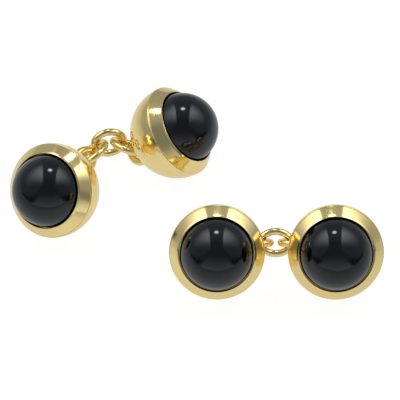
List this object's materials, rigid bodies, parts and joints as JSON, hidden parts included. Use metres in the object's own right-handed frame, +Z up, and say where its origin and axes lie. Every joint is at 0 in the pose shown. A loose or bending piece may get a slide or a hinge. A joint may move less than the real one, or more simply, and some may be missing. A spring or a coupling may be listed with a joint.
{
  "type": "cufflink",
  "caption": "Matched chain-link cufflinks with domed black stone faces in round gold cups, the heads of each joined back to back by a short chain of oval links.",
  "frame": {"origin": "on the table, under the middle of the two cufflinks' outline", "axes": "+X to the right along the front cufflink's chain, +Y to the back, +Z up"},
  "size_m": [0.0472, 0.0308, 0.0113],
  "materials": {
    "gold": "polished",
    "onyx": "polished"
  },
  "bodies": {
    "front_link_3": {"front_link_3": "gold"},
    "front_link_2": {"front_link_2": "gold"},
    "front_link_1": {"front_link_1": "gold"},
    "front_link_4": {"front_link_4": "gold"},
    "front_link_5": {"front_link_5": "gold"},
    "front_left_head": {"front_left_cup": "gold", "front_left_bezel": "gold", "front_left_bearer": "gold", "front_left_stone": "onyx", "front_left_eye": "gold"},
    "front_right_head": {"front_right_cup": "gold", "front_right_bezel": "gold", "front_right_bearer": "gold", "front_right_stone": "onyx", "front_right_eye": "gold"},
    "back_link_3": {"back_link_3": "gold"},
    "back_link_2": {"back_link_2": "gold"},
    "back_link_1": {"back_link_1": "gold"},
    "back_link_4": {"back_link_4": "gold"},
    "back_link_5": {"back_link_5": "gold"},
    "back_left_head": {"back_left_cup": "gold", "back_left_bezel": "gold", "back_left_bearer": "gold", "back_left_stone": "onyx", "back_left_eye": "gold"},
    "back_right_head": {"back_right_cup": "gold", "back_right_bezel": "gold", "back_right_bearer": "gold", "back_right_stone": "onyx", "back_right_eye": "gold"}
  },
  "joints": [
    {"name": "front_link_2_swing", "type": "hinge", "parent": "front_link_3", "child": "front_link_2", "pos_m": [0.00888, -0.00502, 0.00146], "axis": [0, 0, 1], "range_deg": [-24, 24]},
    {"name": "front_link_1_swing", "type": "hinge", "parent": "front_link_2", "child": "front_link_1", "pos_m": [0.00626, -0.00502, 0.00146], "axis": [0, 0, 1], "range_deg": [-22, 10]},
    {"name": "front_left_head_turn", "type": "hinge", "parent": "front_link_1", "child": "front_left_head", "pos_m": [0.00364, -0.00502, 0.00146], "axis": [0, 0, 1], "range_deg": [-22, 3]},
    {"name": "front_link_4_swing", "type": "hinge", "parent": "front_link_3", "child": "front_link_4", "pos_m": [0.0115, -0.00502, 0.00146], "axis": [0, 0, 1], "range_deg": [-24, 24]},
    {"name": "front_link_5_swing", "type": "hinge", "parent": "front_link_4", "child": "front_link_5", "pos_m": [0.01412, -0.00502, 0.00146], "axis": [0, 0, 1], "range_deg": [-10, 22]},
    {"name": "front_right_head_turn", "type": "hinge", "parent": "front_link_5", "child": "front_right_head", "pos_m": [0.01674, -0.00502, 0.00146], "axis": [0, 0, 1], "range_deg": [-2, 22]},
    {"name": "back_set_down", "type": "slide", "parent": "front_link_3", "child": "back_link_3", "axis": [0, 0, -1], "range_m": [-0.02, 0]},
    {"name": "back_link_2_swing", "type": "hinge", "parent": "back_link_3", "child": "back_link_2", "pos_m": [-0.0138, 0.00891, 0.00146], "axis": [0, 0, 1], "range_deg": [-14, 26]},
    {"name": "back_link_1_swing", "type": "hinge", "parent": "back_link_2", "child": "back_link_1", "pos_m": [-0.01538, 0.00695, 0.00151], "axis": [0, 0, 1], "range_deg": [-25, 6]},
    {"name": "back_left_head_turn", "type": "hinge", "parent": "back_link_1", "child": "back_left_head", "pos_m": [-0.01498, 0.00448, 0.00141], "axis": [0, 0, 1], "range_deg": [-18, 18]},
    {"name": "back_link_4_swing", "type": "hinge", "parent": "back_link_3", "child": "back_link_4", "pos_m": [-0.01253, 0.01112, 0.00148], "axis": [0, 0, 1], "range_deg": [-8, 24]},
    {"name": "back_link_5_swing", "type": "hinge", "parent": "back_link_4", "child": "back_link_5", "pos_m": [-0.00989, 0.01175, 0.00148], "axis": [0, 0, 1], "range_deg": [-4, 25]},
    {"name": "back_right_head_turn", "type": "hinge", "parent": "back_link_5", "child": "back_right_head", "pos_m": [-0.00802, 0.01029, 0.00131], "axis": [0, 0, 1], "range_deg": [-16, 14]}
  ]
}
